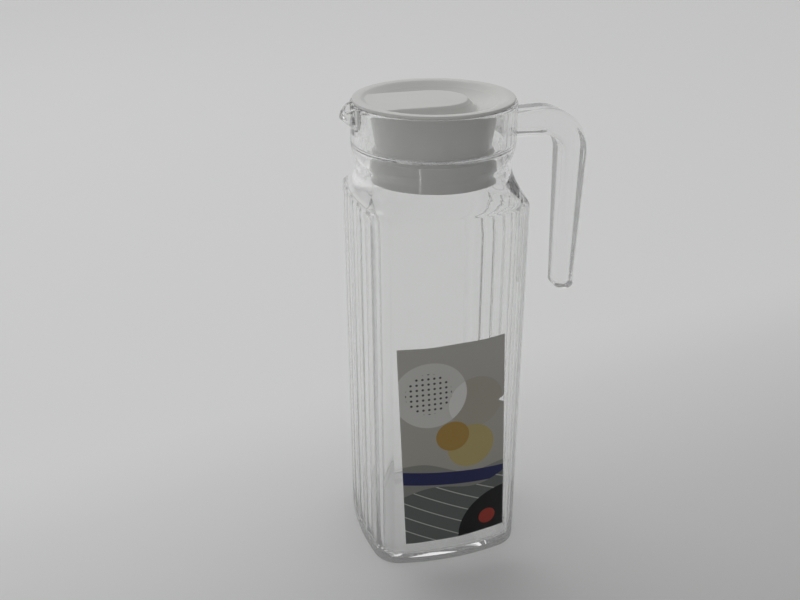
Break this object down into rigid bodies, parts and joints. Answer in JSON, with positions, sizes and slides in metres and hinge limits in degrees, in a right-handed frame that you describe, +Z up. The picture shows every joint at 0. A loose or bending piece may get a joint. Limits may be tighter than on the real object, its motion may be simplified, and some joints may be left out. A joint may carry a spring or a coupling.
{
  "type": "glass pitcher with lid",
  "caption": "Tall square glass pitcher with fluted sides, a round collar with a pour lip, a bent glass handle with a free end, and a white stopper lid that lifts out.",
  "frame": {"origin": "middle of the foot, on the surface that the jug stands on", "axes": "+Z up along the jug, +X towards the handle, -X towards the pour lip, -Y towards the labelled front panel"},
  "size_m": [0.1266, 0.0872, 0.2478],
  "materials": {
    "clear_glass": "polished clear glass",
    "white_plastic": "satin moulded plastic",
    "label_paper": "coated paper"
  },
  "bodies": {
    "jug": {"glass_jug": "clear_glass", "glass_handle": "clear_glass", "front_label": "label_paper"},
    "lid": {"lid_stopper": "white_plastic"}
  },
  "joints": [
    {"name": "lid_lift", "type": "slide", "parent": "jug", "child": "lid", "axis": [0, 0, 1], "range_m": [0, 0.08]}
  ]
}
